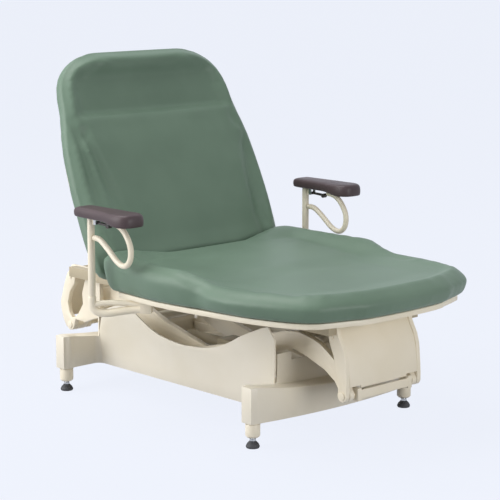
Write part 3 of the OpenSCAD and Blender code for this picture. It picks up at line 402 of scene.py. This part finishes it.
for side in ("left", "right"):
    pad = welded_copy("arm_pad_" + side, "pad_" + side, flat=False)
    apply_modifier(pad, "SUBSURF", levels=2, render_levels=2)
    shape = points_of(pad) / MM
    lobe = rise(shape[:, 1].max() - shape[:, 1], start=140, over=80)
    middle = (shape[:, 0].max() + shape[:, 0].min()) / 2
    height = (shape[:, 2] - shape[:, 2].min()) / np.ptp(shape[:, 2])
    shape[:, 2] -= lobe_drop * lobe * (1 - drop_lost_at_top * height)
    shape[:, 0] += lobe_widening * lobe * (shape[:, 0] - middle)
    place_points(pad, shape * MM)
    smooth_by_angle(pad, degrees=60)
    settle(pad, "arm_pad_" + side, finish=urethane)
    print(side, "pad width:", round(float(np.ptp(shape[:, 0])), 1), "mm")

# %% [markdown]
# ## Cushions, first step: foam under tension
# Each cushion is one block of foam with vinyl drawn over it by vacuum, so it has no seam and
# hardly a straight line. The engineering solid gives the outline. A voxel remesh turns it into
# an even skin, and a short cloth run with air pressure inside rounds it the way foam pushes
# against vinyl. Only the way outwards is kept, and a cap holds each point within a few
# millimetres of the foam, because a free balloon would draw its rim in.

# %% Remesh and inflate
voxel = 11.0 * MM
start_depth = 1.5 * MM
swell_cap = 6.0 * MM
air_pressure = 4.0
cloth_frames = 20


def even_skin(node, name):
    piece = welded_copy(node, name, flat=False)
    apply_modifier(piece, "REMESH", mode="VOXEL", voxel_size=voxel)
    apply_modifier(piece, "SMOOTH", factor=0.5, iterations=4)
    return piece


def inflate(piece, held):
    # held picks the points that rest on the pan or the shell, and the cloth is pinned there
    edit_all(piece)
    bpy.ops.transform.shrink_fatten(value=-start_depth)
    bpy.ops.object.mode_set(mode="OBJECT")
    start = points_of(piece)
    group = piece.vertex_groups.new(name="rests")
    group.add([int(i) for i in np.nonzero(held(start))[0]], 1.0, "REPLACE")
    bpy.ops.object.modifier_add(type="CLOTH")
    cloth = piece.modifiers[-1]
    cloth.settings.use_pressure = True
    cloth.settings.uniform_pressure_force = air_pressure
    cloth.settings.effector_weights.gravity = 0
    cloth.settings.vertex_group_mass = group.name
    for frame_number in range(1, cloth_frames + 1):
        bpy.context.scene.frame_set(frame_number)
    swollen = points_of(piece.evaluated_get(bpy.context.evaluated_depsgraph_get()))
    facing = np.empty(start.size)
    piece.data.vertices.foreach_get("normal", facing)
    facing = facing.reshape(-1, 3)
    outward = ((swollen - start) * facing).sum(axis=1, keepdims=True)
    swell = np.clip(outward, 0, swell_cap)
    only(piece)
    bpy.ops.object.modifier_remove(modifier=cloth.name)
    piece.vertex_groups.clear()
    place_points(piece, start + swell * facing)
    bpy.context.scene.frame_set(1)
    print(piece.name, "swelled by", round(float(swell.mean()) / MM, 1), "mm on average")

# %% [markdown]
# ## Cushions, second step: shaping in numbers
# A sculptor would now push the surface about with a soft brush. Each line below is one stroke
# of it: where it lies on the cushion, how wide it is and how high, in millimetres. The strokes
# are placed by the distance from the outline, and the cushion is first turned out of its lean,
# so that across, along and up are its own directions.

# %% Strokes
sectors = 180
blur = 5


def ridge(value, place, width, lift=1.0):
    # lift at its place, and soft slopes down to nothing on both sides
    return lift * np.exp(-((value - place) / width) ** 2)


def rim_fall(inset, width, depth):
    # depth at the outline, and nothing from width inwards
    return depth * np.clip(1 - inset / width, 0, 1) ** 2


def edge_distance(across, along, centre):
    # millimetres from the outline, measured on the line to the cushion's middle
    angle = np.arctan2(along - centre, across)
    reach = np.hypot(across, along - centre)
    borders = np.linspace(-math.pi, math.pi, sectors + 1)
    sector = ((angle + math.pi) / (2 * math.pi) * sectors).astype(int).clip(0, sectors - 1)
    outline = np.array([reach[sector == k].max() for k in range(sectors)])
    ring = np.concatenate([outline[-(blur // 2):], outline, outline[:blur // 2]])
    outline = np.convolve(ring, np.ones(blur) / blur, "valid")
    middles = (borders[:-1] + borders[1:]) / 2
    return np.interp(angle, middles, outline, period=2 * math.pi) - reach


def push_out(across, along, centre, push):
    # away from the cushion's middle by push millimetres
    reach = np.maximum(np.hypot(across, along - centre), 1)
    return across + push * across / reach, along + push * (along - centre) / reach

# %% The lean of a cushion
frame_shift = 37.167
cushion_low = 380.0


def out_of_lean(points, lean, turn_y, turn_z):
    y = points[:, 1] / MM - frame_shift - turn_y
    z = points[:, 2] / MM - turn_z
    return (points[:, 0] / MM, math.cos(lean) * y - math.sin(lean) * z,
            math.sin(lean) * y + math.cos(lean) * z)


def into_lean(across, along, up, lean, turn_y, turn_z):
    y = math.cos(lean) * along + math.sin(lean) * up + turn_y + frame_shift
    z = math.cos(lean) * up - math.sin(lean) * along + turn_z
    return np.stack([across, y, z], axis=1) * MM

# %% [markdown]
# ## The seat cushion
# The seat gets a rolled nose with a crest just inside its rim, a shallow dish, and a waist
# where the hip bolsters end. Along is measured from the middle of the table, and the nose is
# at its negative end. Level runs from the underside of the cushion to its rim as nought to one,
# and the rim rises from the nose to the step at the hips and again to the back.

# %% Seat cushion, its skin
seat_turn = 146.0
seat_lean = (math.radians(0.9), seat_turn, cushion_low)
seat_middle = -287.0
held_height = 9.0

seat = even_skin("seat_cushion", "cushion_seat")
inflate(seat, lambda points: out_of_lean(points, *seat_lean)[2] < held_height)
apply_modifier(seat, "SUBSURF", levels=1, render_levels=1)
x, y, z = out_of_lean(points_of(seat), *seat_lean)
y = y + seat_turn
inset = edge_distance(x, y, seat_middle)
nose_height = 66
to_step = rise(y, start=-348, over=144, lift=37)
to_back = rise(y, start=-151, over=227, lift=10)
level = np.clip(z / (nose_height + to_step + to_back), 0, 1.1)
nose = fall(y, start=-330, over=120)
print("seat points:", len(x), "deepest inset:", round(float(inset.max())), "mm")

# %% Seat cushion, the strokes on top
upper = rise(level, start=0.35, over=0.5)
nose_crest = nose * ridge(inset, place=40, width=24, lift=11)
hip_crest = (1 - nose) * ridge(inset, place=56, width=30, lift=3)
dish = nose * rise(inset, start=84, over=90, lift=-6)
beside_hips = rise(np.abs(x), start=150, over=120)
channel = (1 - nose) * beside_hips * ridge(inset, place=128, width=30, lift=-5)
step_lip = ridge(y, place=-215, width=45, lift=3) * ridge(inset, place=55, width=50)
rounding = rim_fall(inset, width=34, depth=-5) * rise(level, start=0.5, over=0.4)
z = z + upper * (nose_crest + hip_crest + dish + channel + step_lip) + rounding
print("nose crest:", round(float(nose_crest.max()), 1), "mm, dish:", round(float(dish.min()), 1), "mm")

# %% Seat cushion, the strokes on its sides
waist = (ridge(y, place=-300, width=40, lift=-13) + ridge(y, place=-130, width=90, lift=5)
         + ridge(y, place=-440, width=80, lift=5))
belly_level = 0.7
belly = ridge(level, place=belly_level, width=0.25, lift=3)
tuck_depth = 9
tuck = tuck_depth * np.clip(1 - level / belly_level, 0, 1) ** 1.1
bulge = waist * ridge(level, place=0.6, width=0.5) + belly - tuck
before_back = fall(y, start=60, over=40)
at_rim = fall(inset, start=10, over=50)
x, y = push_out(x, y, seat_middle, at_rim * before_back * bulge)
print("sides move by", round(float(bulge.min()), 1), "to", round(float(bulge.max()), 1), "mm")

# %% Seat cushion, its finish
pan_gap = 0.8
place_points(seat, into_lean(x, y - seat_turn, np.maximum(z, pan_gap), *seat_lean))
apply_modifier(seat, "SMOOTH", factor=0.5, iterations=8)
smooth_by_angle(seat, degrees=80)
settle(seat, "seat_cushion", finish=seat_vinyl)
print("seat faces:", len(seat.data.polygons))

# %% [markdown]
# ## The back cushion
# The same strokes work in the back's own lean. A soft roll runs round the top and both sides.
# Inside it the head area is sunk, and a crease closes it below. Under the crease the vinyl
# swells out toward the lumbar area, and where it is drawn between this pad and the side
# bolsters it falls in long folds that fade out on their way down. Depth runs into the cushion
# from its face. Height runs up along the face, and its zero lies a little above the lower end.

# %% Back cushion, its skin
back_angle = math.radians(23.5)
seat_length = 756.0
rear_share = 0.168
seat_rear = rear_share * seat_length
face_gap = 6.0
face_rise = 105.0
face_y = seat_rear + face_gap / math.cos(back_angle) + face_rise * math.tan(back_angle)
back_lean = (back_angle, face_y, cushion_low + face_rise)
back_thick = 70.0
back_middle = 287.0
held_depth = 62.0

back = even_skin("back_cushion", "cushion_back")
inflate(back, lambda points: out_of_lean(points, *back_lean)[1] > held_depth)
apply_modifier(back, "SUBSURF", levels=1, render_levels=1)
x, depth, height = out_of_lean(points_of(back), *back_lean)
inset = edge_distance(x, height, back_middle)
print("back points:", len(x), "deepest inset:", round(float(inset.max())), "mm")

# %% Back cushion, the strokes on its face
outline_heights = [-75, 215, 302, 360, 418, 469, 520, 556, 592, 621, 639, 650]
outline_halves = [340, 386, 380, 372, 359, 347, 342, 332, 309, 272, 232, 181]
from_side = np.interp(height, outline_heights, outline_halves) - np.abs(x)
above = rise(height, start=428, over=34)

head_level = 9
roll = ridge(inset, place=28, width=34, lift=7)
sunk = fall(height, start=554, over=62) * rise(from_side, start=12, over=56, lift=-30)
head_area = above * (head_level + roll + sunk)

low_level = -4
lumbar = fall(height, start=330, over=125, lift=10)
tail = fall(height, start=0, over=160, lift=-3)
bolster = ridge(from_side, place=14, width=26, lift=8) + fall(from_side, start=50, over=70, lift=4)
low_area = (1 - above) * (low_level + lumbar + tail + bolster)
crease = ridge(height, place=446, width=14, lift=-4) * rise(inset, start=24, over=50)
print("head recess:", round(float(-head_area.min()), 1), "mm deep")

# %% Back cushion, its folds
def fold(top, bottom, lift, width):
    # a stroke on the face between two points, each given across and up, that fades at both ends
    run_out = 0.3
    way = np.clip((top[1] - height) / (top[1] - bottom[1]), -run_out, 1 + run_out)
    middle = top[0] + (bottom[0] - top[0]) * way
    fade = rise(way, start=-0.12, over=0.22) * fall(way, start=0.62, over=0.5)
    widening = np.interp(way, [0, 1], [0.7, 1.3])
    return ridge(x, middle, width * widening, lift * fade)


folds = (fold(top=(-340, 420), bottom=(-332, 90), lift=-17, width=18)
         + fold(top=(-318, 390), bottom=(-258, 90), lift=-13, width=20)
         + fold(top=(-326, 400), bottom=(-298, 90), lift=5, width=12)
         + fold(top=(338, 330), bottom=(300, -60), lift=-20, width=32)
         + fold(top=(300, 420), bottom=(270, 250), lift=-4, width=30))
print("deepest fold:", round(float(-folds.min()), 1), "mm")

# %% Back cushion, its form
# the solid has a part of the form on its face already, so that part is taken off the strokes
solid_level = -6
solid_head = rise(height, start=403, over=72, lift=14)
solid_bolster = rise(np.abs(x), start=270, over=46, lift=10) * fall(height, start=360, over=58)
solid_face = solid_level + solid_head + solid_bolster

wanted = head_area + low_area + crease + folds
front = fall(depth, start=0.22 * back_thick, over=0.5 * back_thick)
inward = rim_fall(inset, width=56, depth=17) * fall(depth, start=0, over=26)
depth = depth - front * ((wanted - solid_face) * rise(inset, start=0, over=36) - inward)

belly = (ridge(depth, place=34, width=0.34 * back_thick, lift=4)
         + rise(depth, start=52, over=18, lift=-6))
at_rim = fall(inset, start=6, over=34)
x, height = push_out(x, height, back_middle, at_rim * belly)
print("face moves by", round(float(wanted.min()), 1), "to", round(float(wanted.max()), 1), "mm")

# %% Back cushion, its finish
shell_gap = 0.5
place_points(back, into_lean(x, np.minimum(depth, back_thick - shell_gap), height, *back_lean))
apply_modifier(back, "SMOOTH", factor=0.5, iterations=6)
smooth_by_angle(back, degrees=80)
settle(back, "back_cushion", finish=back_vinyl_shaded)
print("back faces:", len(back.data.polygons))

# %% [markdown]
# ## The shell behind the back
# The rear shell is the same formed sheet as the cover, with a generous rounded rim.

# %% Rear shell
shell = welded_copy("back_shell", "rear_shell")
round_edges(shell, width_mm=4.0, segments=3, turn=40)
smooth_by_angle(shell, degrees=40)
settle(shell, "back_shell", finish=cover_abs)
print("shell faces:", len(shell.data.polygons))

# %% [markdown]
# ## Studio
# A pale sweep and soft boxes give the even light of a catalogue page. The key box stands on the
# left toward the head end, a second one hangs above, and a weaker one lights the foot end. The
# world fills the rest. Camera, glossy and transmission rays see the bright sweep of the page,
# and diffuse light sees a darker one, so that little of it comes back up from the floor.

# %% Floor
pale = shade("ECF0FA")


def page_rays(tree):
    # one for the rays that see the page itself, nought for the ones that only carry its light
    path = add_node(tree, "ShaderNodeLightPath")
    direct = add_node(tree, "ShaderNodeMath", {"operation": "MAXIMUM"},
                      links={0: path.outputs["Is Camera Ray"], 1: path.outputs["Is Glossy Ray"]})
    seen = add_node(tree, "ShaderNodeMath", {"operation": "MAXIMUM"},
                    links={0: direct.outputs[0], 1: path.outputs["Is Transmission Ray"]})
    return seen.outputs[0]


bpy.ops.mesh.primitive_plane_add(size=160)
floor = bpy.context.active_object
floor.name = "studio_floor"
floor_finish = new_material("matt_paper_sweep")
tree = floor_finish.node_tree
lit = add_node(tree, "ShaderNodeBsdfDiffuse", values={"Color": shade("A2A4A8")})
glow = add_node(tree, "ShaderNodeEmission", values={"Color": pale, "Strength": 1.09})
page_share = 0.9
share = add_node(tree, "ShaderNodeMath", {"operation": "MULTIPLY"}, {1: page_share},
                 {0: page_rays(tree)})
both = add_node(tree, "ShaderNodeMixShader",
                links={0: share.outputs[0], 1: lit.outputs[0], 2: glow.outputs[0]})
add_node(tree, "ShaderNodeOutputMaterial", links={"Surface": both.outputs[0]})
floor.data.materials.append(floor_finish)
print("floor:", floor.dimensions.x, "m wide")

# %% World and lamps
world = bpy.data.worlds.new("studio")
bpy.context.scene.world = world
world.use_nodes = True
tree = world.node_tree
tree.nodes.clear()
fill = add_node(tree, "ShaderNodeBackground", values={"Color": shade("F6F4F0"), "Strength": 0.36})
backdrop = add_node(tree, "ShaderNodeBackground", values={"Color": pale, "Strength": 1.0})
mix = add_node(tree, "ShaderNodeMixShader",
               links={0: page_rays(tree), 1: fill.outputs[0], 2: backdrop.outputs[0]})
add_node(tree, "ShaderNodeOutputWorld", links={"Surface": mix.outputs[0]})

lit_place = Vector((0, 0, 0.5))
for name, place, size, power in (
    ("key_box", (-4.6, 2.4, 2.3), 4.2, 250),
    ("top_box", (-1.0, 1.4, 5.0), 3.2, 145),
    ("front_box", (0.2, -5.0, 1.0), 2.4, 84),
):
    bpy.ops.object.light_add(type="AREA", location=place)
    lamp = bpy.context.active_object
    lamp.name = name
    lamp.data.size = size
    lamp.data.energy = power
    lamp.rotation_euler = (lit_place - lamp.location).to_track_quat("-Z", "Y").to_euler()
    print(name, power, "W")
